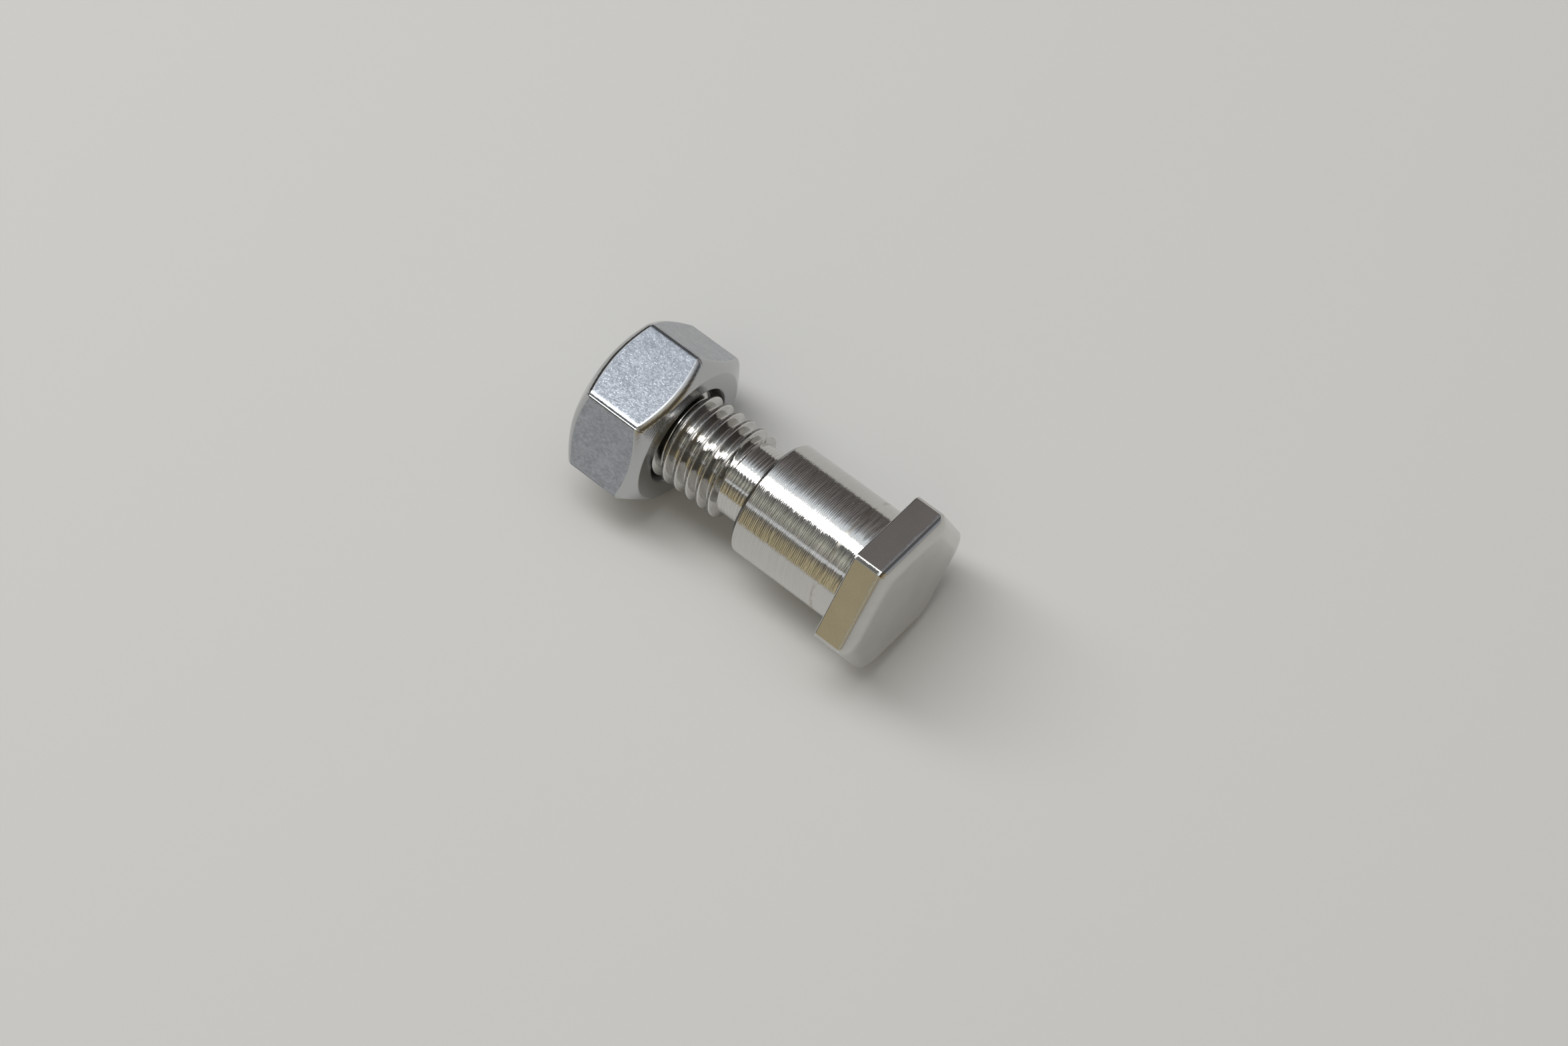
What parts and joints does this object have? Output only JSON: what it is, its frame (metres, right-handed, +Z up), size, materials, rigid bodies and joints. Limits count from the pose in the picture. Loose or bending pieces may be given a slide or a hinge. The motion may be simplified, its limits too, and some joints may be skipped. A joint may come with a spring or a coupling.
{
  "type": "shoulder bolt",
  "caption": "Hexagon-head shoulder bolt: crowned thin head, plain cylindrical shoulder, relief groove and fine thread with a bevelled hexagon nut screwed part way on.",
  "frame": {"origin": "on the table, under the middle of the box that holds the bolt and nut", "axes": "+Z up; the bolt's axis runs along X with the head at +X, tilted 1.8 degrees down towards the nut as it comes to rest"},
  "size_m": [0.0301, 0.015, 0.0149],
  "materials": {
    "bolt_plating": "bright plated steel, polished head, fine turning marks on the shoulder",
    "nut_plating": "bright plated steel, finely textured flats with polished edges"
  },
  "bodies": {
    "bolt": {"shoulder_bolt": "bolt_plating"},
    "nut": {"hex_nut": "nut_plating"}
  },
  "joints": [
    {"name": "nut_run", "type": "slide", "parent": "bolt", "child": "nut", "axis": [-0.9995, 0, -0.0316], "range_m": [-0.00808, 0.00924]}
  ]
}
